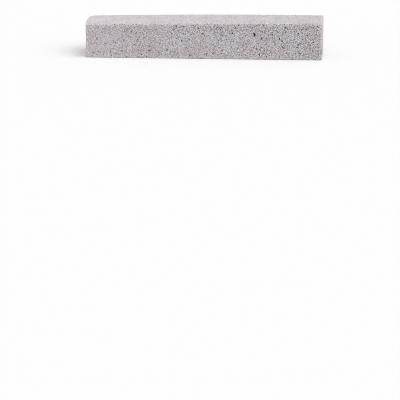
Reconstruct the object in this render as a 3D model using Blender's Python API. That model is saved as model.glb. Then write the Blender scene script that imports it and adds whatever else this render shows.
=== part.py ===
"""A pumice scouring bar: one piece of foamed stone, sawn to a block, its larger pores open in every face."""

import math
import random

import bmesh
import bpy
from mathutils import Matrix, Vector

MM = 0.001

# Driving dimensions, in metres: X runs along the bar, Y through its depth, and it lies on the plane Z = 0
LENGTH = 150.0 * MM
DEPTH = 35.0 * MM
THICKNESS = 22.5 * MM  # at mid length

# How the sawn top departs from a plane parallel to the base
TOP_LEAN = 0.93 * MM  # how much the right end gains over mid length, and the left end loses
TOP_CROWN = 0.62 * MM  # how far both ends then drop below mid length

# The left end is sawn askew: its front edge stands back, and the end reaches full length towards the back
END_SETBACK = 1.6 * MM
END_SKEW_RUN = 24.0 * MM  # from the front face to where the end reaches full length
END_BLEND = 18.0 * MM  # how far along the bar the askew end fades out

CORNER_ROUND = 1.2 * MM  # three upright corners
WORN_CORNER = 5.5 * MM  # the fourth, back left
RIM_ROUND = 0.9 * MM  # rims of the top and of the base
ROUND_SEGMENTS = 2
WORN_SEGMENTS = 4

# Cells of the block's mesh, fine enough for the crown and the askew end
CELL_X = 15.0 * MM
CELL_Y = 7.0 * MM

# Open pores that are large enough to see from a step away
PORE_COUNT = 610
PORE_SEED = 7
PORE_WIDTH_MIN = 0.75 * MM
PORE_WIDTH_MAX = 1.5 * MM
PORE_SMALL_BIAS = 2.5  # the higher, the fewer wide pores
PORE_STRETCH = 1.7  # the foam rose upright, so a pore of an upright face can be this much taller than wide
FLAT_STRETCH = 1.15  # the same for the top and the base, which cut across the pores
PORE_DEPTH = (0.55, 0.85)  # least and greatest depth, as a share of the width
PORE_REACH = 0.75  # how far a pore's form reaches from its middle, as a share of its height
PORE_WALL = 0.1 * MM  # least stone between the reach of one pore and of the next
PORE_UNEVEN = 0.14  # how far a pore's corners stray, as a share of their distance from its middle
REST_CLEAR = 6.0 * MM  # no pore this near the middle of the base

# A wide pore is a bowl and the others are pointed pits
BOWL_WIDTH = 1.25 * MM
BOWL_SIDES = 7
BOWL_BANDS = 4
BOWL_LIFT = 0.08  # how far a bowl's widest ring is above the face, as a share of its depth
PIT_SIDES = 5
PIT_CLEAR = 0.15  # how far a pit's form stands out of the face, as a share of its depth

# How open each face is beside the front
FACE_OPENNESS = {"front": 1.0, "back": 1.0, "left": 1.0, "right": 1.0, "top": 0.8, "base": 0.7}

# Pores of the front face that catch the eye: x, z, width and height, in millimetres
FRONT_PORES = (
    (32.6, 15.7, 1.4, 2.6),
    (36.9, 13.4, 0.9, 1.9),
    (48.2, 13.3, 0.9, 1.4),
    (49.8, 11.9, 0.9, 0.9),
    (18.8, 16.5, 1.0, 1.2),
    (43.8, 16.0, 0.9, 1.0),
    (35.7, 3.1, 0.8, 2.5),
    (51.9, 20.3, 1.0, 0.9),
    (-2.7, 19.5, 0.8, 1.4),
    (-33.4, 4.9, 1.4, 0.9),
    (-57.9, 3.8, 0.8, 1.8),
    (0.2, 16.1, 1.2, 0.9),
    (2.5, 3.0, 0.8, 1.5),
    (69.4, 11.3, 1.0, 1.0),
    (67.4, 9.3, 0.9, 0.9),
    (60.7, 4.2, 0.9, 1.0),
    (60.0, 16.9, 0.9, 1.0),
    (58.8, 8.0, 0.9, 1.1),
    (12.5, 15.0, 0.9, 1.0),
    (-8.3, 12.3, 0.9, 0.9),
    (38.8, 5.8, 0.9, 0.9),
    (-22.2, 5.3, 0.9, 0.9),
    (22.8, 21.3, 0.9, 0.9),
    (-65.6, 3.8, 0.8, 1.2),
    (-42.6, 8.5, 0.8, 1.0),
    (-54.9, 9.8, 0.8, 0.9),
    (-16.1, 12.9, 0.8, 1.0),
)


def clear_scene():
    """Removes what the scene opened with."""
    for obj in list(bpy.data.objects):
        bpy.data.objects.remove(obj)


def new_collection(name):
    collection = bpy.data.collections.new(name)
    bpy.context.scene.collection.children.link(collection)
    return collection


def smooth(t):
    """Rises from 0 to 1 with level ends."""
    t = min(max(t, 0.0), 1.0)
    return t * t * (3.0 - 2.0 * t)


def top_height(x):
    """Height of the sawn top above the base."""
    along = x / (LENGTH / 2)
    return THICKNESS + TOP_LEAN * along - TOP_CROWN * along * along


def left_setback(x, y):
    """How far the askew left end stands in from full length. It fades out along the bar."""
    short_of_full = max(1.0 - (y + DEPTH / 2) / END_SKEW_RUN, 0.0)
    near_end = smooth(1.0 - (x + LENGTH / 2) / END_BLEND)
    return END_SETBACK * short_of_full * short_of_full * near_end


def sawn(point):
    """Moves a point of the true block to where it is on the stone as sawn."""
    x, y, z = point
    return Vector((x + left_setback(x, y), y, z * top_height(x) / THICKNESS))


def round_uprights(bm):
    """Rounds the block's four upright corners, the back left one most."""
    for x_side in (-1, 1):
        for y_side in (-1, 1):
            corner = Vector((x_side * LENGTH / 2, y_side * DEPTH / 2))
            upright = [
                edge for edge in bm.edges if all((vert.co.xy - corner).length < MM for vert in edge.verts)
            ]
            is_worn = (x_side, y_side) == (-1, 1)
            bmesh.ops.bevel(
                bm,
                geom=upright,
                offset=WORN_CORNER if is_worn else CORNER_ROUND,
                offset_type="OFFSET",
                segments=WORN_SEGMENTS if is_worn else ROUND_SEGMENTS,
                profile=0.5,
                affect="EDGES",
            )


def round_rims(bm):
    """Rounds the rim of the top and of the base."""
    bm.normal_update()
    rims = [
        edge for edge in bm.edges if sorted(round(abs(face.normal.z)) for face in edge.link_faces) == [0, 1]
    ]
    bmesh.ops.bevel(
        bm,
        geom=rims,
        offset=RIM_ROUND,
        offset_type="OFFSET",
        segments=ROUND_SEGMENTS,
        profile=0.5,
        affect="EDGES",
    )


def cut_into_cells(bm):
    """Cuts the block's faces along even upright planes, so that they can take the crown and the askew end."""
    for axis, extent, cell in ((0, LENGTH, CELL_X), (1, DEPTH, CELL_Y)):
        count = round(extent / cell)
        normal = Vector((0, 0, 0))
        normal[axis] = 1.0
        for step in range(1, count):
            bmesh.ops.bisect_plane(
                bm,
                geom=bm.verts[:] + bm.edges[:] + bm.faces[:],
                plane_co=normal * extent * (step / count - 0.5),
                plane_no=normal,
            )


def sawn_block(collection):
    """The bar before its pores are cut: a rounded block, crowned, with one end askew."""
    bm = bmesh.new()
    bmesh.ops.create_cube(bm, size=1.0)
    bmesh.ops.scale(bm, vec=(LENGTH, DEPTH, THICKNESS), verts=bm.verts)
    bmesh.ops.translate(bm, vec=(0, 0, THICKNESS / 2), verts=bm.verts)
    round_uprights(bm)
    round_rims(bm)
    cut_into_cells(bm)
    for vert in bm.verts:
        vert.co = sawn(vert.co)
    bmesh.ops.triangulate(bm, faces=bm.faces[:])
    mesh = bpy.data.meshes.new("pumice_bar")
    bm.to_mesh(mesh)
    bm.free()
    block = bpy.data.objects.new("pumice_bar", mesh)
    collection.objects.link(block)
    return block


def face_point(face, along, across):
    """A point of one sawn face, and the way that face looks. along and across run from 0 to 1."""
    x = (along - 0.5) * LENGTH
    y = (along - 0.5) * DEPTH
    z = across * THICKNESS
    true_point, outward = {
        "front": ((x, -DEPTH / 2, z), (0, -1, 0)),
        "back": ((x, DEPTH / 2, z), (0, 1, 0)),
        "left": ((-LENGTH / 2, y, z), (-1, 0, 0)),
        "right": ((LENGTH / 2, y, z), (1, 0, 0)),
        "top": ((x, (across - 0.5) * DEPTH, THICKNESS), (0, 0, 1)),
        "base": ((x, (across - 0.5) * DEPTH, 0), (0, 0, -1)),
    }[face]
    return sawn(true_point), Vector(outward)


def face_areas():
    """How much stone each face shows, weighed by how open it is."""
    long_side = LENGTH * THICKNESS
    end = DEPTH * THICKNESS
    flat = LENGTH * DEPTH
    areas = {"front": long_side, "back": long_side, "left": end, "right": end, "top": flat, "base": flat}
    return {face: area * FACE_OPENNESS[face] for face, area in areas.items()}


def clear_of(pores, at, height):
    """Whether a new pore leaves a wall of stone between itself and every other."""
    return all(
        (at - other["at"]).length > PORE_REACH * (height + other["height"]) + PORE_WALL for other in pores
    )


def open_pores():
    """Every modelled pore: the front's own, then a seeded scatter over all six faces."""
    pores = []
    for x, z, width, height in FRONT_PORES:
        at = Vector((x * MM, -DEPTH / 2, z * MM))
        pores.append({"at": at, "out": Vector((0, -1, 0)), "width": width * MM, "height": height * MM})
    areas = face_areas()
    chance = random.Random(PORE_SEED)
    while len(pores) < PORE_COUNT:
        face = chance.choices(list(areas), weights=list(areas.values()))[0]
        at, out = face_point(face, chance.random(), chance.random())
        size = chance.random() ** PORE_SMALL_BIAS
        width = PORE_WIDTH_MIN * (PORE_WIDTH_MAX / PORE_WIDTH_MIN) ** size
        upright = face not in ("top", "base")
        height = width * chance.uniform(1.0, PORE_STRETCH if upright else FLAT_STRETCH)
        under_rest = face == "base" and at.length < REST_CLEAR
        if not under_rest and clear_of(pores, at, height):
            pores.append({"at": at, "out": out, "width": width, "height": height})
    return pores


def pore_form(bm, pore, chance):
    """Adds to bm the closed form that one pore takes out of the stone."""
    if pore["width"] >= BOWL_WIDTH:
        made = bmesh.ops.create_uvsphere(bm, u_segments=BOWL_SIDES, v_segments=BOWL_BANDS, radius=0.5)
        lift = BOWL_LIFT / 2
    else:
        rise = 0.5 + PIT_CLEAR / 2
        made = bmesh.ops.create_cone(
            bm, cap_ends=True, segments=PIT_SIDES, radius1=0.0, radius2=rise, depth=rise
        )
        lift = rise / 2 - 0.5
    for vert in made["verts"]:
        vert.co *= 1.0 + chance.uniform(-PORE_UNEVEN, PORE_UNEVEN)
        vert.co.z += lift
    depth = pore["width"] * chance.uniform(*PORE_DEPTH)
    spin = Matrix.Rotation(chance.uniform(0, 2 * math.pi), 4, "Z")
    size = Matrix.Diagonal((pore["width"], pore["height"], 2 * depth, 1.0))
    aim = pore["out"].to_track_quat("Z", "Y").to_matrix().to_4x4()
    place = Matrix.Translation(pore["at"]) @ aim @ size @ spin
    bmesh.ops.transform(bm, matrix=place, verts=made["verts"])


def cut_pores(block, collection):
    """Takes the pores out of the block."""
    chance = random.Random(PORE_SEED)
    bm = bmesh.new()
    for pore in open_pores():
        pore_form(bm, pore, chance)
    mesh = bpy.data.meshes.new("pore_forms")
    bm.to_mesh(mesh)
    bm.free()
    forms = bpy.data.objects.new("pore_forms", mesh)
    forms.hide_render = True
    forms.display_type = "WIRE"
    collection.objects.link(forms)
    cut = block.modifiers.new("open_pores", "BOOLEAN")
    cut.operation = "DIFFERENCE"
    cut.solver = "EXACT"
    cut.object = forms


def pumice_material():
    """Pale grey foamed stone, dull and dusty, with a faint warm purple cast."""
    material = bpy.data.materials.new("pumice")
    material.use_nodes = True
    shader = material.node_tree.nodes["Principled BSDF"]
    shader.inputs["Base Color"].default_value = (0.45, 0.42, 0.44, 1.0)
    shader.inputs["Roughness"].default_value = 0.95
    shader.inputs["Metallic"].default_value = 0.0
    return material


clear_scene()
stone = new_collection("pumice_stone")
cutters = new_collection("cutters")
bar = sawn_block(stone)
bar.data.materials.append(pumice_material())
cut_pores(bar, cutters)
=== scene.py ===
"""A pumice scouring bar on a pale studio floor: the pored stone, its finish, the light and the camera."""

import math
import random

import bmesh
import bpy
import numpy as np
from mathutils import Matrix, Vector
from mathutils.bvhtree import BVHTree


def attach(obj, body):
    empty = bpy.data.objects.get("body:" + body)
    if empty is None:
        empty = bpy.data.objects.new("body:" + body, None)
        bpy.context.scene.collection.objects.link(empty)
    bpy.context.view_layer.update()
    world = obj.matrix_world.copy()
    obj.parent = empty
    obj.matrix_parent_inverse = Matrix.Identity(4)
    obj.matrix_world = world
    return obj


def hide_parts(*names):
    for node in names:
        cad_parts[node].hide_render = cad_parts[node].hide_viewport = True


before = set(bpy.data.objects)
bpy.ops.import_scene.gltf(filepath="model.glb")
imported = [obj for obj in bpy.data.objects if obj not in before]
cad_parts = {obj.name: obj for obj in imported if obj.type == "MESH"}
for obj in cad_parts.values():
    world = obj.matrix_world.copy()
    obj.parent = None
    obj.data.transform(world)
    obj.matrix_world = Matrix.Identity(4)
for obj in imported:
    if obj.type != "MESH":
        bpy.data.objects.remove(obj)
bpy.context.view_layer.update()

MM = 0.001

# The bar, in metres. Its sizes and the shape of its ends and top are those of its solid.
LENGTH = 150.0 * MM
DEPTH = 35.0 * MM
THICKNESS = 22.5 * MM  # at mid length
TOP_LEAN = 0.93 * MM  # how much the right end gains over mid length, and the left end loses
TOP_CROWN = 0.62 * MM  # how far both ends then drop below mid length
END_SETBACK = 1.6 * MM  # how far the left end's front edge stands back
END_SKEW_RUN = 24.0 * MM  # from the front face to where the left end reaches full length
END_BLEND = 18.0 * MM  # how far along the bar the askew end fades out
CORNER_ROUND = 1.2 * MM  # three upright corners
WORN_CORNER = 5.5 * MM  # the fourth, back left
RIM_ROUND = 0.9 * MM  # rims of the top and of the base
ROUND_SEGMENTS = 4
WORN_SEGMENTS = 9
CELL_X = 15.0 * MM  # cells of the block's mesh, fine enough for the crown and the askew end
CELL_Y = 7.0 * MM

# The wide pores stand where they do in the solid
PORE_COUNT = 610
PORE_SEED = 7
PORE_WIDTH_MIN = 0.75 * MM
PORE_WIDTH_MAX = 1.5 * MM
PORE_SMALL_BIAS = 2.5  # the higher, the fewer wide ones among them
PORE_STRETCH = 1.7  # the foam rose upright, so a pore of an upright face can be this much taller than wide
FLAT_STRETCH = 1.15  # the same for the top and the base
PORE_DEPTH = (0.55, 0.85)  # least and greatest depth, as a share of the width
PORE_REACH = 0.75  # how far a pore may reach from its middle, as a share of its height
PORE_WALL = 0.1 * MM  # least stone between the reach of one pore and of the next
REST_CLEAR = 6.0 * MM  # no pore this near the middle of the base
# How open each face is beside the front
FACE_OPENNESS = {"front": 1.0, "back": 1.0, "left": 1.0, "right": 1.0, "top": 0.8, "base": 0.7}
# The front face's own pores: x, z, width and height in the solid, in millimetres, and how many times as wide
# they are cut here. The darker ones are cut wider.
FRONT_PORES = (
    (32.6, 15.7, 1.4, 2.6, 1.2),
    (36.9, 13.4, 0.9, 1.9, 1.2),
    (48.2, 13.3, 0.9, 1.4, 1.05),
    (49.8, 11.9, 0.9, 0.9, 1.35),
    (18.8, 16.5, 1.0, 1.2, 1.2),
    (43.8, 16.0, 0.9, 1.0, 1.0),
    (35.7, 3.1, 0.8, 2.5, 1.2),
    (51.9, 20.3, 1.0, 0.9, 1.1),
    (-2.7, 19.5, 0.8, 1.4, 1.25),
    (-33.4, 4.9, 1.4, 0.9, 0.8),
    (-57.9, 3.8, 0.8, 1.8, 1.1),
    (0.2, 16.1, 1.2, 0.9, 0.85),
    (2.5, 3.0, 0.8, 1.5, 1.15),
    (69.4, 11.3, 1.0, 1.0, 0.8),
    (67.4, 9.3, 0.9, 0.9, 1.15),
    (60.7, 4.2, 0.9, 1.0, 1.0),
    (60.0, 16.9, 0.9, 1.0, 0.85),
    (58.8, 8.0, 0.9, 1.1, 0.85),
    (12.5, 15.0, 0.9, 1.0, 0.9),
    (-8.3, 12.3, 0.9, 0.9, 1.15),
    (38.8, 5.8, 0.9, 0.9, 0.9),
    (-22.2, 5.3, 0.9, 0.9, 1.2),
    (22.8, 21.3, 0.9, 0.9, 1.15),
    (-65.6, 3.8, 0.8, 1.2, 0.9),
    (-42.6, 8.5, 0.8, 1.0, 0.8),
    (-54.9, 9.8, 0.8, 0.9, 1.15),
    (-16.1, 12.9, 0.8, 1.0, 1.2),
)
FRONT_PORE_DEEPENING = 1.33  # how many times more their depth grows than their width
OTHER_PORE_GROWTH = (0.88, 0.8)  # how much wider and deeper than in the solid all the others are cut
WIDE_PORE_SEGMENTS = 8
WIDE_PORE_RINGS = 5
WIDE_PORE_UNEVENNESS = 0.35 * MM

# The two finer layers of pores: how thickly they are strewn, how far apart they keep and how wide they are.
# A share is how much of that the flat faces and the left end get. Depth is a share of the width, and
# unevenness is how far the points of a pore's form stray.
MIDDLE_PORES = {
    "Seed": 3,
    "Most per Square Metre": 300000.0,
    "Least Spacing": 0.96 * MM,
    "Share on Top": 0.7,
    "Share on Base": 0.4,
    "Share at Left End": 0.6,
    "Least Width": 0.5 * MM,
    "Greatest Width": 0.8 * MM,
    "Stretch": 1.5,
    "Depth": 1.0,
    "Sides": 6,
    "Unevenness": 0.12 * MM,
}
FINE_PORES = {
    "Seed": 11,
    "Most per Square Metre": 900000.0,
    "Least Spacing": 0.7 * MM,
    "Share on Top": 0.65,
    "Share on Base": 0.3,
    "Share at Left End": 0.8,
    "Least Width": 0.4 * MM,
    "Greatest Width": 0.6 * MM,
    "Stretch": 1.4,
    "Depth": 1.1,
    "Sides": 5,
    "Unevenness": 0.06 * MM,
}

PIT_CLEAR = 0.24  # how far a small pore's form stands out of the face, as a share of its depth
PIT_DEPTH_SPREAD = (0.7, 1.3)  # least and greatest depth, as a share of the layer's own
FLAT_LOOK = (0.4, 0.6)  # how far up or down a face looks where it begins to count as flat, and where it is
WAVER_SIZE = 0.9 * MM  # size of the lumps that make the pores' forms uneven

FACE_TOUCH = 0.002 * MM  # nearer to the block's face than this, a point is on it
SHARP_ANGLE = math.radians(75)  # least turn between faces that meet in a crisp edge

# The stone's finish: its two tints, how large their patches are, the span of noise that goes from one tint
# to the other, and how far the patches stray to other hues
PALE_TINT = (0.709, 0.666, 0.690, 1.0)
DEEP_TINT = (0.635, 0.590, 0.614, 1.0)
MOTTLE_SIZE = 12.0 * MM
MOTTLE_RANGE = (0.3, 0.7)
CAST_STRAY = 0.08

# Painted shade in the pores: the depth in which their colour fades to about a third, and the least that is
# ever left of it
PORE_FADE_DEPTH = 0.75 * MM
PORE_LEAST_LIGHT = 0.08

# The two sizes of cells that are too fine to cut, with how much darker than the stone an open cell is, which
# is painted shade in its hollow, and how much lighter the wall between cells, which is partly paler stone at
# the broken rims and partly a painted highlight where they catch the light
FOAM = (
    {"Cell Size": 0.48 * MM, "Open Share": 0.8, "Least Hollow": 0.35, "darkness": 0.5, "wall_light": 0.08},
    {"Cell Size": 0.28 * MM, "Open Share": 0.6, "Least Hollow": 0.3, "darkness": 0.38, "wall_light": 0.05},
)
CELL_SQUEEZE = 0.95  # the scale of heights where cells are laid out, which makes them a little tall
HOLLOW_SPREAD = 0.3  # how much farther than the least hollow a cell may open, as a share of its size
HOLLOW_EDGE = 6.0  # how sharply a hollow ends
WALL_START = 0.5  # how far from a cell's middle its wall starts, as a share of its size
WALL_EDGE = 4.0  # how sharply a wall begins
GRAIN_SIZE = 0.3 * MM
GRAIN_CONTRAST = 1.2
GRAIN_IN_BUMP = 0.5  # how high the grain stands, where the larger cells are 1 deep
BUMP_HEIGHT = 0.08 * MM
BUMP_STRENGTH = 0.5

# How strongly the cells show: more towards the right end and high up, and less on the top, the ends and the
# edges, where dust lies and light is painted in, which makes the ends and edges paler as if lit
FOAM_AT_LEFT = 0.72
FOAM_AT_RIGHT = 1.17
FOAM_BY_RIM = 1.3  # how much more strongly high up on the stone
RIM_ZONE = (THICKNESS - 8.0 * MM, THICKNESS - 3.0 * MM)  # the heights between which that sets in
# The mask of dust and painted light: how much the cells show under it, the painted shade that darkens the
# stone where it is full, as on the top, and how much of it the ends and the edges take, which paints them
# paler as if lit
FOAM_UNDER_DUST_AND_LIGHT = 0.3
DUST_AND_PAINTED_SHADE = 0.97
DUST_AND_LIGHT_ON_ENDS = 0.6
WEAR_AND_LIGHT_ON_EDGES = 0.5
DUST_AND_LIGHT_LOOK = (0.5, 0.9)  # how far up or endways the stone looks where the mask of dust and painted light begins, and where it is full

# The block's edges are rubbed pale, and painted lighter as if their rounding caught the light: how far from
# an edge that begins to fade and where it ends, and how many times as light the stone is there
WEAR_AND_HIGHLIGHT_REACH = (1.2 * MM, 2.2 * MM)
WEAR_AND_HIGHLIGHT = 1.06

# The stone's colour map: the width of stone that it spans, and the gap round each side's rectangle
MAP_SIZE = 154.0 * MM
MAP_MARGIN = 2.0 * MM

# The camera, which looks at the front face from a little right of square and from above. The bar lies near
# the top of the picture, so the camera is aimed below it.
CAMERA_AZIMUTH = math.radians(4.009)
CAMERA_ELEVATION = math.radians(10.079)
CAMERA_DISTANCE = 1.4294
CAMERA_LENS = 205.12  # millimetres, on Blender's own 36 mm sensor
FRONT_MIDDLE = Vector((0.0, -DEPTH / 2, 11.5 * MM))
AIM = Vector((-1.5 * MM, -DEPTH / 2, -91.2 * MM))

# The floor and the light. The floor is as bright as the sky behind it, so that no horizon shows.
FLOOR_SIZE = 16.0
FLOOR_SHADE = 0.93
SUN_STRENGTH = 1.85
SUN_SPREAD = math.radians(70)
SUN_TURN = (math.radians(18), math.radians(24), 0)
SKY_STRENGTH = 0.55


def smooth(t):
    """Rises from 0 to 1 with level ends."""
    t = min(max(t, 0.0), 1.0)
    return t * t * (3.0 - 2.0 * t)


def top_height(x):
    """Height of the sawn top above the base."""
    along = x / (LENGTH / 2)
    return THICKNESS + TOP_LEAN * along - TOP_CROWN * along * along


def left_setback(x, y):
    """How far the askew left end stands in from full length. It fades out along the bar."""
    short_of_full = max(1.0 - (y + DEPTH / 2) / END_SKEW_RUN, 0.0)
    near_end = smooth(1.0 - (x + LENGTH / 2) / END_BLEND)
    return END_SETBACK * short_of_full * short_of_full * near_end


def sawn(point):
    """Moves a point of the true block to where it is on the stone as sawn."""
    x, y, z = point
    return Vector((x + left_setback(x, y), y, z * top_height(x) / THICKNESS))


def round_uprights(bm):
    """Rounds the block's four upright corners, the back left one most."""
    for x_side in (-1, 1):
        for y_side in (-1, 1):
            corner = Vector((x_side * LENGTH / 2, y_side * DEPTH / 2))
            upright = [
                edge for edge in bm.edges if all((vert.co.xy - corner).length < MM for vert in edge.verts)
            ]
            is_worn = (x_side, y_side) == (-1, 1)
            bmesh.ops.bevel(
                bm,
                geom=upright,
                offset=WORN_CORNER if is_worn else CORNER_ROUND,
                offset_type="OFFSET",
                segments=WORN_SEGMENTS if is_worn else ROUND_SEGMENTS,
                profile=0.5,
                affect="EDGES",
            )


def round_rims(bm):
    """Rounds the rim of the top and of the base."""
    bm.normal_update()
    rims = [
        edge for edge in bm.edges if sorted(round(abs(face.normal.z)) for face in edge.link_faces) == [0, 1]
    ]
    bmesh.ops.bevel(
        bm,
        geom=rims,
        offset=RIM_ROUND,
        offset_type="OFFSET",
        segments=ROUND_SEGMENTS,
        profile=0.5,
        affect="EDGES",
    )


def cut_into_cells(bm):
    """Cuts the block's faces at even upright planes, so that they can take the crown and the askew end."""
    for axis, extent, cell in ((0, LENGTH, CELL_X), (1, DEPTH, CELL_Y)):
        count = round(extent / cell)
        normal = Vector((0, 0, 0))
        normal[axis] = 1.0
        for step in range(1, count):
            bmesh.ops.bisect_plane(
                bm,
                geom=bm.verts[:] + bm.edges[:] + bm.faces[:],
                plane_co=normal * extent * (step / count - 0.5),
                plane_no=normal,
            )


def sawn_block(name):
    """The bar before its pores are cut."""
    bm = bmesh.new()
    bmesh.ops.create_cube(bm, size=1.0)
    bmesh.ops.scale(bm, vec=(LENGTH, DEPTH, THICKNESS), verts=bm.verts)
    bmesh.ops.translate(bm, vec=(0, 0, THICKNESS / 2), verts=bm.verts)
    round_uprights(bm)
    round_rims(bm)
    cut_into_cells(bm)
    for vert in bm.verts:
        vert.co = sawn(vert.co)
    # The points and faces are put in one order, so that the pores strewn over them fall alike each time
    points = sorted(bm.verts, key=lambda vert: vert.co[:])
    place = {vert: index for index, vert in enumerate(points)}
    faces = []
    for face in bm.faces:
        corners = [place[vert] for vert in face.verts]
        first = corners.index(min(corners))
        faces.append(corners[first:] + corners[:first])
    mesh = bpy.data.meshes.new(name)
    mesh.from_pydata([vert.co for vert in points], [], sorted(faces))
    bm.free()
    return placed(name, mesh)


def placed(name, data):
    """Makes an object of a mesh, a light or a camera, and puts it in the scene."""
    obj = bpy.data.objects.new(name, data)
    bpy.context.scene.collection.objects.link(obj)
    return obj


def face_point(face, along, across):
    """A point of one sawn face, and the way that face looks. along and across run from 0 to 1."""
    x = (along - 0.5) * LENGTH
    y = (along - 0.5) * DEPTH
    z = across * THICKNESS
    true_point, outward = {
        "front": ((x, -DEPTH / 2, z), (0, -1, 0)),
        "back": ((x, DEPTH / 2, z), (0, 1, 0)),
        "left": ((-LENGTH / 2, y, z), (-1, 0, 0)),
        "right": ((LENGTH / 2, y, z), (1, 0, 0)),
        "top": ((x, (across - 0.5) * DEPTH, THICKNESS), (0, 0, 1)),
        "base": ((x, (across - 0.5) * DEPTH, 0), (0, 0, -1)),
    }[face]
    return sawn(true_point), Vector(outward)


def face_areas():
    """How much stone each face shows, weighed by how open it is."""
    long_side = LENGTH * THICKNESS
    end = DEPTH * THICKNESS
    flat = LENGTH * DEPTH
    areas = {"front": long_side, "back": long_side, "left": end, "right": end, "top": flat, "base": flat}
    return {face: area * FACE_OPENNESS[face] for face, area in areas.items()}


def clear_of(pores, at, height):
    """Whether a new pore leaves a wall of stone between itself and every other."""
    return all(
        (at - other["at"]).length > PORE_REACH * (height + other["height"]) + PORE_WALL for other in pores
    )


def wide_pores():
    """The pores that the solid has: the front's own, then a seeded scatter over all six faces."""
    pores = []
    for x, z, width, height, growth in FRONT_PORES:
        pores.append(
            {
                "at": Vector((x * MM, -DEPTH / 2, z * MM)),
                "out": Vector((0, -1, 0)),
                "width": width * MM,
                "height": height * MM,
                "growth": (growth, growth * FRONT_PORE_DEEPENING),
            }
        )
    areas = face_areas()
    chance = random.Random(PORE_SEED)
    while len(pores) < PORE_COUNT:
        face = chance.choices(list(areas), weights=list(areas.values()))[0]
        at, out = face_point(face, chance.random(), chance.random())
        size = chance.random() ** PORE_SMALL_BIAS
        width = PORE_WIDTH_MIN * (PORE_WIDTH_MAX / PORE_WIDTH_MIN) ** size
        upright = face not in ("top", "base")
        height = width * chance.uniform(1.0, PORE_STRETCH if upright else FLAT_STRETCH)
        under_rest = face == "base" and at.length < REST_CLEAR
        if not under_rest and clear_of(pores, at, height):
            pores.append(
                {"at": at, "out": out, "width": width, "height": height, "growth": OTHER_PORE_GROWTH}
            )
    return pores


def pore_places(pores):
    """A mesh of one point for each pore, which carries how the pore is turned and how large it is."""
    chance = random.Random(PORE_SEED)
    mesh = bpy.data.meshes.new("pore_places")
    mesh.from_pydata([pore["at"] for pore in pores], [], [])
    outward = mesh.attributes.new("outward", "FLOAT_VECTOR", "POINT")
    size = mesh.attributes.new("size", "FLOAT_VECTOR", "POINT")
    for index, pore in enumerate(pores):
        outward.data[index].vector = pore["out"]
        wider, deeper = pore["growth"]
        deep = 2 * pore["width"] * chance.uniform(*PORE_DEPTH)
        size.data[index].vector = (pore["width"] * wider, pore["height"] * wider, deep * deeper)
    return placed("pore_places", mesh)


class Tree:
    """Writes a node tree. Each call adds a node, sets it up and joins or fills its inputs."""

    def __init__(self, tree):
        self.nodes = tree.nodes
        self.links = tree.links

    def add(self, kind, settings=None, inputs=None):
        """Adds a node. An input is given by name or number, and gets a value or a socket to join it to."""
        node = self.nodes.new(kind)
        for name, value in (settings or {}).items():
            setattr(node, name, value)
        for name, value in (inputs or {}).items():
            self.feed(node.inputs[name], value)
        return node

    def feed(self, socket, value):
        """Fills an input with a value, or joins it to a socket."""
        if isinstance(value, bpy.types.NodeSocket):
            self.links.new(value, socket)
        else:
            socket.default_value = value

    def math(self, operation, *values, clamp=False):
        node = self.add("ShaderNodeMath", {"operation": operation, "use_clamp": clamp})
        for socket, value in zip(node.inputs, values):
            self.feed(socket, value)
        return node.outputs[0]

    def vector_math(self, operation, *values):
        node = self.add("ShaderNodeVectorMath", {"operation": operation})
        for socket, value in zip(node.inputs, values):
            self.feed(socket, value)
        return node.outputs[0]

    def between(self, value, low, high, at_low, at_high):
        """Goes from at_low to at_high as a value goes from low to high."""
        inputs = dict(enumerate((value, low, high, at_low, at_high)))
        return self.add("ShaderNodeMapRange", None, inputs).outputs[0]

    def random(self, least, greatest, seed):
        """A random number for each point."""
        node = self.add(
            "FunctionNodeRandomValue", {"data_type": "FLOAT"}, {2: least, 3: greatest, "Seed": seed}
        )
        return node.outputs[1]


def new_group(name, kind, inputs, outputs):
    """A node group with named sockets, and the sockets that its own nodes read."""
    group = bpy.data.node_groups.new(name, kind)
    for socket, socket_type in inputs.items():
        group.interface.new_socket(socket, in_out="INPUT", socket_type="NodeSocket" + socket_type)
    for socket, socket_type in outputs.items():
        group.interface.new_socket(socket, in_out="OUTPUT", socket_type="NodeSocket" + socket_type)
    tree = Tree(group)
    return group, tree, tree.add("NodeGroupInput").outputs


def pore_cutter():
    """The nodes that cut a form out of the stone at each of some points."""
    group, tree, given = new_group(
        "pore_cutter",
        "GeometryNodeTree",
        {
            "Stone": "Geometry",
            "Points": "Geometry",
            "Form": "Geometry",
            "Outward": "Vector",
            "Size": "Vector",
            "Unevenness": "Float",
        },
        {"Stone": "Geometry"},
    )
    facing = tree.add("FunctionNodeAlignRotationToVector", {"axis": "Z"}, {"Vector": given["Outward"]})
    upright = tree.add(
        "FunctionNodeAlignRotationToVector",
        {"axis": "Y", "pivot_axis": "Z"},
        {"Rotation": facing.outputs[0], "Vector": (0.0, 0.0, 1.0)},
    )
    forms = tree.add(
        "GeometryNodeInstanceOnPoints",
        None,
        {
            "Points": given["Points"],
            "Instance": given["Form"],
            "Rotation": upright.outputs[0],
            "Scale": given["Size"],
        },
    )
    real = tree.add("GeometryNodeRealizeInstances", None, {"Geometry": forms.outputs[0]})
    waver = tree.add("ShaderNodeTexNoise", None, {"Scale": 1.0 / WAVER_SIZE, "Detail": 1.0})
    stray = tree.vector_math("SUBTRACT", waver.outputs["Color"], (0.5, 0.5, 0.5))
    offset = tree.add(
        "ShaderNodeVectorMath", {"operation": "SCALE"}, {0: stray, "Scale": given["Unevenness"]}
    )
    lumpy = tree.add(
        "GeometryNodeSetPosition", None, {"Geometry": real.outputs[0], "Offset": offset.outputs[0]}
    )
    cut = tree.add(
        "GeometryNodeMeshBoolean",
        {"operation": "DIFFERENCE", "solver": "MANIFOLD"},
        {"Mesh 1": given["Stone"], "Mesh 2": lumpy.outputs[0]},
    )
    tree.add("NodeGroupOutput", None, {"Stone": cut.outputs[0]})
    return group


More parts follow.
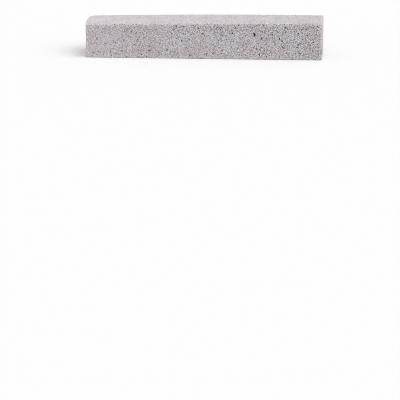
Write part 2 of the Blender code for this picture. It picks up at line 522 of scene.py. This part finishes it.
def wide_pore_tree(cutter):
    """Cuts the wide pores, round bowls at the places that are given."""
    group, tree, given = new_group(
        "wide_pores",
        "GeometryNodeTree",
        {"Stone": "Geometry", "Places": "Object", "Unevenness": "Float", "Finish": "Material"},
        {"Stone": "Geometry"},
    )
    places = tree.add("GeometryNodeObjectInfo", None, {"Object": given["Places"]})
    points = tree.add("GeometryNodeMeshToPoints", None, {"Mesh": places.outputs["Geometry"]})
    outward = tree.add("GeometryNodeInputNamedAttribute", {"data_type": "FLOAT_VECTOR"}, {"Name": "outward"})
    size = tree.add("GeometryNodeInputNamedAttribute", {"data_type": "FLOAT_VECTOR"}, {"Name": "size"})
    form = tree.add(
        "GeometryNodeMeshUVSphere",
        None,
        {"Radius": 0.5, "Segments": WIDE_PORE_SEGMENTS, "Rings": WIDE_PORE_RINGS},
    )
    cut = tree.add(
        "GeometryNodeGroup",
        {"node_tree": cutter},
        {
            "Stone": given["Stone"],
            "Points": points.outputs[0],
            "Form": form.outputs["Mesh"],
            "Outward": outward.outputs["Attribute"],
            "Size": size.outputs["Attribute"],
            "Unevenness": given["Unevenness"],
        },
    )
    finished = tree.add(
        "GeometryNodeSetMaterial", None, {"Geometry": cut.outputs[0], "Material": given["Finish"]}
    )
    tree.add("NodeGroupOutput", None, {"Stone": finished.outputs[0]})
    return group


def small_pore_tree(cutter):
    """Cuts a layer of small pores, pointed pits strewn over the whole block."""
    group, tree, given = new_group(
        "small_pores",
        "GeometryNodeTree",
        {
            "Stone": "Geometry",
            "Block": "Object",
            "Seed": "Int",
            "Most per Square Metre": "Float",
            "Least Spacing": "Float",
            "Share on Top": "Float",
            "Share on Base": "Float",
            "Share at Left End": "Float",
            "Least Width": "Float",
            "Greatest Width": "Float",
            "Stretch": "Float",
            "Depth": "Float",
            "Sides": "Int",
            "Unevenness": "Float",
            "Finish": "Material",
        },
        {"Stone": "Geometry"},
    )
    block = tree.add("GeometryNodeObjectInfo", None, {"Object": given["Block"]})
    outward = tree.add("ShaderNodeSeparateXYZ", None, {0: tree.add("GeometryNodeInputNormal").outputs[0]})
    place = tree.add("ShaderNodeSeparateXYZ", None, {0: tree.add("GeometryNodeInputPosition").outputs[0]})
    share = tree.between(place.outputs["X"], -LENGTH / 2, LENGTH / 2, given["Share at Left End"], 1.0)
    slanted, flat = FLAT_LOOK
    on_top = tree.between(outward.outputs["Z"], slanted, flat, 1.0, given["Share on Top"])
    on_base = tree.between(outward.outputs["Z"], -flat, -slanted, given["Share on Base"], 1.0)
    share = tree.math("MULTIPLY", share, tree.math("MULTIPLY", on_top, on_base))
    strewn = tree.add(
        "GeometryNodeDistributePointsOnFaces",
        {"distribute_method": "POISSON"},
        {
            "Mesh": block.outputs["Geometry"],
            "Distance Min": given["Least Spacing"],
            "Density Max": given["Most per Square Metre"],
            "Density Factor": share,
            "Seed": given["Seed"],
        },
    )
    width = tree.random(given["Least Width"], given["Greatest Width"], given["Seed"])
    height = tree.math("MULTIPLY", width, tree.random(1.0, given["Stretch"], 1))
    depth = tree.math("MULTIPLY", width, given["Depth"])
    depth = tree.math("MULTIPLY", depth, tree.random(*PIT_DEPTH_SPREAD, 2))
    size = tree.add("ShaderNodeCombineXYZ", None, {"X": width, "Y": height, "Z": depth})
    # An upside-down cone that is 1 wide where it meets the face, and 1 deep from there
    tall = 1.0 + PIT_CLEAR
    cone = tree.add(
        "GeometryNodeMeshCone",
        {"fill_type": "NGON"},
        {
            "Vertices": given["Sides"],
            "Side Segments": 1,
            "Radius Top": tall / 2,
            "Radius Bottom": 0.0,
            "Depth": tall,
        },
    )
    form = tree.add(
        "GeometryNodeTransform", None, {"Geometry": cone.outputs["Mesh"], "Translation": (0.0, 0.0, -1.0)}
    )
    cut = tree.add(
        "GeometryNodeGroup",
        {"node_tree": cutter},
        {
            "Stone": given["Stone"],
            "Points": strewn.outputs["Points"],
            "Form": form.outputs[0],
            "Outward": strewn.outputs["Normal"],
            "Size": size.outputs[0],
            "Unevenness": given["Unevenness"],
        },
    )
    finished = tree.add(
        "GeometryNodeSetMaterial", None, {"Geometry": cut.outputs[0], "Material": given["Finish"]}
    )
    tree.add("NodeGroupOutput", None, {"Stone": finished.outputs[0]})
    return group


def work(stone, tree, values):
    """Runs a geometry tree on the stone, and keeps what it makes as the stone's own mesh."""
    modifier = stone.modifiers.new(tree.name, "NODES")
    modifier.node_group = tree
    for name, value in values.items():
        modifier[tree.interface.items_tree[name].identifier] = value
    graph = bpy.context.evaluated_depsgraph_get()
    made = bpy.data.meshes.new_from_object(stone.evaluated_get(graph))
    stone.modifiers.clear()
    before = stone.data
    stone.data = made
    bpy.data.meshes.remove(before)


def edge_reach(point):
    """How far a point of the stone is from the nearest edge of the block, where two of its faces meet."""
    x, y, z = point
    from_left = x + LENGTH / 2 - left_setback(x, y)
    from_faces = (from_left, LENGTH / 2 - x, DEPTH / 2 - abs(y), z, top_height(x) - z)
    # The nearest face is the one that the point is on, and the next one meets it in the edge
    return sorted(from_faces)[1]


def mark_pore_walls(stone, block):
    """Gives each point its depth below the face and its way to an edge, and keeps the pores' rims sharp."""
    mesh = stone.data
    graph = bpy.context.evaluated_depsgraph_get()
    faces = BVHTree.FromObject(block, graph)
    depths = np.array([faces.find_nearest(vert.co)[3] for vert in mesh.vertices], np.float32)
    depths[depths < FACE_TOUCH] = 0.0
    mesh.attributes.new("pore_depth", "FLOAT", "POINT").data.foreach_set("value", depths)
    reach = [edge_reach(vert.co) for vert in mesh.vertices]
    mesh.attributes.new("edge_reach", "FLOAT", "POINT").data.foreach_set("value", reach)

    corner_vert = np.empty(len(mesh.loops), np.int32)
    mesh.loops.foreach_get("vertex_index", corner_vert)
    corner_edge = np.empty(len(mesh.loops), np.int32)
    mesh.loops.foreach_get("edge_index", corner_edge)
    starts = np.empty(len(mesh.polygons), np.int32)
    mesh.polygons.foreach_get("loop_start", starts)
    in_pore = np.maximum.reduceat(depths[corner_vert], starts) > 0
    sizes = np.diff(np.append(starts, len(corner_vert)))
    corner_in_pore = np.repeat(in_pore, sizes)
    walls = np.bincount(corner_edge[corner_in_pore], minlength=len(mesh.edges))
    lands = np.bincount(corner_edge[~corner_in_pore], minlength=len(mesh.edges))
    mesh.shade_smooth()
    mesh.set_sharp_from_angle(angle=SHARP_ANGLE)
    sharp = np.empty(len(mesh.edges), bool)
    mesh.attributes["sharp_edge"].data.foreach_get("value", sharp)
    mesh.attributes["sharp_edge"].data.foreach_set("value", sharp | ((walls > 0) & (lands > 0)))


def foam_cells():
    """The nodes that find cells of one size: Hollow is 1 in an open cell, Wall is 1 on the stone between."""
    group, tree, given = new_group(
        "foam_cells",
        "ShaderNodeTree",
        {"Place": "Vector", "Cell Size": "Float", "Open Share": "Float", "Least Hollow": "Float"},
        {"Hollow": "Float", "Wall": "Float"},
    )
    cells = tree.add(
        "ShaderNodeTexVoronoi",
        None,
        {"Vector": given["Place"], "Scale": tree.math("DIVIDE", 1.0, given["Cell Size"])},
    )
    away = cells.outputs["Distance"]
    chance = tree.add("ShaderNodeSeparateColor", None, {"Color": cells.outputs["Color"]})
    is_open = tree.math("LESS_THAN", chance.outputs[0], given["Open Share"])
    wider = tree.math("MULTIPLY", chance.outputs[1], HOLLOW_SPREAD)
    reach = tree.math("ADD", given["Least Hollow"], wider)
    hollow = tree.math("MULTIPLY", tree.math("SUBTRACT", reach, away), HOLLOW_EDGE, clamp=True)
    hollow = tree.math("MULTIPLY", hollow, is_open)
    wall = tree.math("MULTIPLY", tree.math("SUBTRACT", away, WALL_START), WALL_EDGE, clamp=True)
    tree.add("NodeGroupOutput", None, {"Hollow": hollow, "Wall": wall})
    return group


def pumice_finish():
    """Foamed stone: dull pale grey with a purple cast, finely celled between its pores, with shade painted
    into its pores and open cells.
    """
    material = bpy.data.materials.new("pumice")
    material.use_nodes = True
    tree = Tree(material.node_tree)
    shader = material.node_tree.nodes["Principled BSDF"]
    coordinates = tree.add("ShaderNodeTexCoord").outputs
    place = coordinates["Object"]
    cell_place = tree.vector_math("MULTIPLY", place, (1.0, 1.0, CELL_SQUEEZE))

    mottle = tree.add(
        "ShaderNodeTexNoise", None, {"Vector": place, "Scale": 1.0 / MOTTLE_SIZE, "Detail": 3.0}
    )
    paleness = tree.between(mottle.outputs["Fac"], *MOTTLE_RANGE, 0.0, 1.0)
    tint = tree.add(
        "ShaderNodeMix", {"data_type": "RGBA"}, {"Factor": paleness, 6: DEEP_TINT, 7: PALE_TINT}
    ).outputs[2]
    stray = tree.vector_math("SUBTRACT", (0.5, 0.5, 0.5), mottle.outputs["Color"])
    cast = tree.vector_math("MULTIPLY_ADD", stray, (CAST_STRAY,) * 3, (1.0, 1.0, 1.0))
    tint = tree.vector_math("MULTIPLY", tint, cast)

    # The stone is more open towards its right end and high up. Dust fills the finest cells of its top, and
    # some of those of its ends and worn edges; the same mask stands for painted light, as the cells' painted
    # shade is taken out there, so the ends and edges come out paler as if lit, and the top is painted a
    # touch darker.
    spot = tree.add("ShaderNodeSeparateXYZ", None, {0: place})
    openness = tree.between(spot.outputs["X"], -LENGTH / 2, LENGTH / 2, FOAM_AT_LEFT, FOAM_AT_RIGHT)
    openness = tree.math("MULTIPLY", openness, tree.between(spot.outputs["Z"], *RIM_ZONE, 1.0, FOAM_BY_RIM))
    from_edge = tree.add("ShaderNodeAttribute", {"attribute_name": "edge_reach"}).outputs["Fac"]
    # The edges are rubbed pale, and painted lighter as if their rounding caught the light
    wear_and_highlight = tree.between(from_edge, *WEAR_AND_HIGHLIGHT_REACH, 1.0, 0.0)
    outward = tree.add("ShaderNodeSeparateXYZ", None, {0: coordinates["Normal"]})
    endward = tree.math("ABSOLUTE", outward.outputs["X"])
    dust_and_light = tree.math(
        "MAXIMUM",
        tree.between(outward.outputs["Z"], *DUST_AND_LIGHT_LOOK, 0.0, 1.0),
        tree.between(endward, *DUST_AND_LIGHT_LOOK, 0.0, DUST_AND_LIGHT_ON_ENDS),
    )
    dust_and_light = tree.math("MAXIMUM", dust_and_light, tree.math("MULTIPLY", wear_and_highlight, WEAR_AND_LIGHT_ON_EDGES))
    contrast = tree.math("MULTIPLY", openness, tree.between(dust_and_light, 0.0, 1.0, 1.0, FOAM_UNDER_DUST_AND_LIGHT))

    # Painted shade where the mask of dust and light is full, as on the top, and paler worn edges, partly
    # wear and partly painted highlight
    light = tree.between(dust_and_light, 0.0, 1.0, 1.0, DUST_AND_PAINTED_SHADE)
    light = tree.math("MULTIPLY", light, tree.between(wear_and_highlight, 0.0, 1.0, 1.0, WEAR_AND_HIGHLIGHT))
    group = foam_cells()
    hollows = []
    for cells in FOAM:
        values = {name: value for name, value in cells.items() if name not in ("darkness", "wall_light")}
        foam = tree.add("ShaderNodeGroup", {"node_tree": group}, {"Place": cell_place, **values})
        # Painted shade in each open cell; the walls between are partly paler stone and partly painted
        # highlight
        dark = tree.math("MULTIPLY", foam.outputs["Hollow"], -cells["darkness"])
        bright = tree.math("MULTIPLY", foam.outputs["Wall"], cells["wall_light"])
        stray = tree.math("MULTIPLY", tree.math("ADD", dark, bright), contrast)
        light = tree.math("MULTIPLY", light, tree.math("ADD", 1.0, stray))
        hollows.append(foam.outputs["Hollow"])
    grain = tree.add(
        "ShaderNodeTexNoise",
        None,
        {"Vector": cell_place, "Scale": 1.0 / GRAIN_SIZE, "Detail": 2.0, "Roughness": 0.7},
    ).outputs["Fac"]
    stray = tree.math("MULTIPLY", tree.math("SUBTRACT", grain, 0.5), GRAIN_CONTRAST)
    light = tree.math("MULTIPLY", light, tree.math("ADD", 1.0, tree.math("MULTIPLY", stray, contrast)))
    # Painted shade: the colour darkens with depth in the pores, where less light reaches
    depth = tree.add("ShaderNodeAttribute", {"attribute_name": "pore_depth"}).outputs["Fac"]
    fading = tree.math("MULTIPLY", tree.math("DIVIDE", depth, -PORE_FADE_DEPTH), openness)
    fading = tree.math("EXPONENT", fading)
    light = tree.math("MULTIPLY", light, tree.between(fading, 0.0, 1.0, PORE_LEAST_LIGHT, 1.0))
    colour = tree.add("ShaderNodeVectorMath", {"operation": "SCALE"}, {0: tint, "Scale": light})
    tree.feed(shader.inputs["Base Color"], colour.outputs[0])
    shader.inputs["Roughness"].default_value = 0.95
    shader.inputs["Specular IOR Level"].default_value = 0.2
    shader.inputs["Diffuse Roughness"].default_value = 1.0

    height = tree.math("SUBTRACT", tree.math("MULTIPLY", grain, GRAIN_IN_BUMP), hollows[0])
    bump = tree.add(
        "ShaderNodeBump", None, {"Strength": BUMP_STRENGTH, "Distance": BUMP_HEIGHT, "Height": height}
    )
    tree.feed(shader.inputs["Normal"], bump.outputs[0])
    return material


def lay_out_map(mesh):
    """Gives the mesh a map on which each side of the bar is a rectangle seen square on, all at one scale."""
    points = np.empty(len(mesh.vertices) * 3, np.float32)
    mesh.vertices.foreach_get("co", points)
    points = points.reshape(-1, 3)
    centres = np.empty(len(mesh.polygons) * 3, np.float32)
    mesh.polygons.foreach_get("center", centres)
    x, y, z = centres.reshape(-1, 3).T
    # How far each face lies in from the front, back, top, base, left end and right end of the bar, in that
    # order. It belongs to the side that it is nearest to.
    reach = (
        y + DEPTH / 2,
        DEPTH / 2 - y,
        top_height(x) - z,
        z,
        x + LENGTH / 2,
        LENGTH / 2 - x,
    )
    side = np.argmin(np.stack(reach), axis=0)
    corner_vert = np.empty(len(mesh.loops), np.int32)
    mesh.loops.foreach_get("vertex_index", corner_vert)
    sizes = np.empty(len(mesh.polygons), np.int32)
    mesh.polygons.foreach_get("loop_total", sizes)
    corner_side = np.repeat(side, sizes)
    px, py, pz = points[corner_vert].T
    high = THICKNESS + MAP_MARGIN
    wide = DEPTH + MAP_MARGIN
    half = LENGTH / 2 + MAP_MARGIN
    # Where every corner would lie across and up in each side's rectangle, in the same order
    layout = (
        (px + half, pz + MAP_MARGIN),
        (half - px, pz + MAP_MARGIN + high),
        (px + half, py + DEPTH / 2 + MAP_MARGIN + 2 * high),
        (px + half, DEPTH / 2 - py + MAP_MARGIN + 2 * high + wide),
        (DEPTH / 2 - py + MAP_MARGIN, pz + MAP_MARGIN + 2 * high + 2 * wide),
        (py + DEPTH / 2 + MAP_MARGIN + wide, pz + MAP_MARGIN + 2 * high + 2 * wide),
    )
    u = np.choose(corner_side, [across for across, _ in layout])
    v = np.choose(corner_side, [up for _, up in layout])
    uv = np.stack([u, v], axis=1) / MAP_SIZE
    mesh.uv_layers.new(name="OFBake").uv.foreach_set("vector", uv.astype(np.float32).ravel())


def pumice_bar():
    """The whole stone, one piece."""
    finish = pumice_finish()
    block = sawn_block("block")
    stone = sawn_block("pumice")
    stone.data.materials.append(finish)
    places = pore_places(wide_pores())
    cutter = pore_cutter()
    wide = {"Places": places, "Unevenness": WIDE_PORE_UNEVENNESS, "Finish": finish}
    work(stone, wide_pore_tree(cutter), wide)
    small = small_pore_tree(cutter)
    for layer in (MIDDLE_PORES, FINE_PORES):
        work(stone, small, {"Block": block, "Finish": finish, **layer})
    mark_pore_walls(stone, block)
    lay_out_map(stone.data)
    bpy.data.objects.remove(block)
    bpy.data.objects.remove(places)
    return stone


def floor():
    """A plain pale floor, far wider than the view."""
    bm = bmesh.new()
    bmesh.ops.create_grid(bm, x_segments=1, y_segments=1, size=FLOOR_SIZE / 2)
    mesh = bpy.data.meshes.new("floor")
    bm.to_mesh(mesh)
    bm.free()
    material = bpy.data.materials.new("floor_paint")
    material.use_nodes = True
    shader = material.node_tree.nodes["Principled BSDF"]
    shader.inputs["Base Color"].default_value = (FLOOR_SHADE, FLOOR_SHADE, FLOOR_SHADE, 1.0)
    shader.inputs["Roughness"].default_value = 1.0
    shader.inputs["Specular IOR Level"].default_value = 0.0
    mesh.materials.append(material)
    return placed("floor", mesh)


def studio_light():
    """A broad soft light overhead, a little in front and to the right, with even light from all round."""
    data = bpy.data.lights.new("overhead", "SUN")
    data.energy = SUN_STRENGTH
    data.angle = SUN_SPREAD
    overhead = placed("overhead", data)
    overhead.rotation_euler = SUN_TURN

    world = bpy.data.worlds.new("studio")
    bpy.context.scene.world = world
    world.use_nodes = True
    tree = Tree(world.node_tree)
    lit = world.node_tree.nodes["Background"]
    lit.inputs["Color"].default_value = (1.0, 1.0, 1.0, 1.0)
    lit.inputs["Strength"].default_value = SKY_STRENGTH
    seen = tree.add("ShaderNodeBackground", None, {"Color": (1.0, 1.0, 1.0, 1.0), "Strength": 1.0})
    ray = tree.add("ShaderNodeLightPath")
    both = tree.add(
        "ShaderNodeMixShader", None, {0: ray.outputs["Is Camera Ray"], 1: lit.outputs[0], 2: seen.outputs[0]}
    )
    tree.feed(world.node_tree.nodes["World Output"].inputs["Surface"], both.outputs[0])


def camera():
    """The camera of the photograph's view."""
    data = bpy.data.cameras.new("camera")
    data.lens = CAMERA_LENS
    data.clip_start = 0.1
    data.clip_end = 100.0
    obj = placed("camera", data)
    back = Vector(
        (
            math.sin(CAMERA_AZIMUTH) * math.cos(CAMERA_ELEVATION),
            -math.cos(CAMERA_AZIMUTH) * math.cos(CAMERA_ELEVATION),
            math.sin(CAMERA_ELEVATION),
        )
    )
    obj.location = FRONT_MIDDLE + CAMERA_DISTANCE * back
    obj.rotation_euler = (AIM - obj.location).to_track_quat("-Z", "Y").to_euler()
    bpy.context.scene.camera = obj


stone = pumice_bar()
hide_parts("pumice_bar")
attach(stone, "root")
floor()
studio_light()
camera()
bpy.context.scene.view_settings.view_transform = "Standard"
# The stone's grain is as fine as the picture's points, so it is neither filtered wide nor smoothed away
bpy.context.scene.cycles.filter_width = 1.0
bpy.context.scene.cycles.denoising_prefilter = "FAST"
